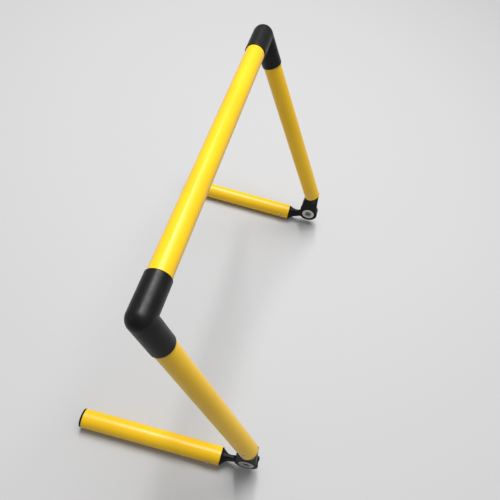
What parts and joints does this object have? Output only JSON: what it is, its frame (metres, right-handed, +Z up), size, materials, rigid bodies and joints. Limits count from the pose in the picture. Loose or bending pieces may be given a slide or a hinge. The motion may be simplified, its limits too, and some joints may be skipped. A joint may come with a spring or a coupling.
{
  "type": "folding training hurdle",
  "caption": "Low training hurdle of yellow plastic tube with black corner elbows, and a folding foot hinged to the bottom of each upright.",
  "frame": {"origin": "on the floor, under the middle of the whole hurdle's box as it stands", "axes": "+X along the crossbar, -Y towards the free ends of the feet, +Z up"},
  "size_m": [0.4776, 0.2436, 0.3584],
  "materials": {
    "yellow_tube": "smooth extruded plastic tube with a soft gloss",
    "black_elbow": "satin moulded plastic, lightly scuffed",
    "black_hinge": "satin moulded plastic with a fine texture",
    "zinc_screw": "dull zinc plate"
  },
  "bodies": {
    "frame": {"crossbar_tube": "yellow_tube", "right_elbow": "black_elbow", "right_upright_tube": "yellow_tube", "right_hinge_fork": "black_hinge", "right_fork_screw": "zinc_screw", "right_pivot_screw": "zinc_screw", "right_pivot_sleeve": "zinc_screw", "left_elbow": "black_elbow", "left_upright_tube": "yellow_tube", "left_hinge_fork": "black_hinge", "left_fork_screw": "zinc_screw", "left_pivot_screw": "zinc_screw", "left_pivot_sleeve": "zinc_screw"},
    "right_foot": {"right_hinge_tongue": "black_hinge", "right_foot_tube": "yellow_tube", "right_tongue_screw": "zinc_screw", "right_foot_cap": "black_hinge"},
    "left_foot": {"left_hinge_tongue": "black_hinge", "left_foot_tube": "yellow_tube", "left_tongue_screw": "zinc_screw", "left_foot_cap": "black_hinge"}
  },
  "joints": [
    {"name": "right_foot_fold", "type": "hinge", "parent": "frame", "child": "right_foot", "pos_m": [0.225, 0.10601, 0.028], "axis": [1, 0, 0], "range_deg": [-65, 25]},
    {"name": "left_foot_fold", "type": "hinge", "parent": "frame", "child": "left_foot", "pos_m": [-0.225, 0.10601, 0.028], "axis": [1, 0, 0], "range_deg": [-65, 25]}
  ]
}
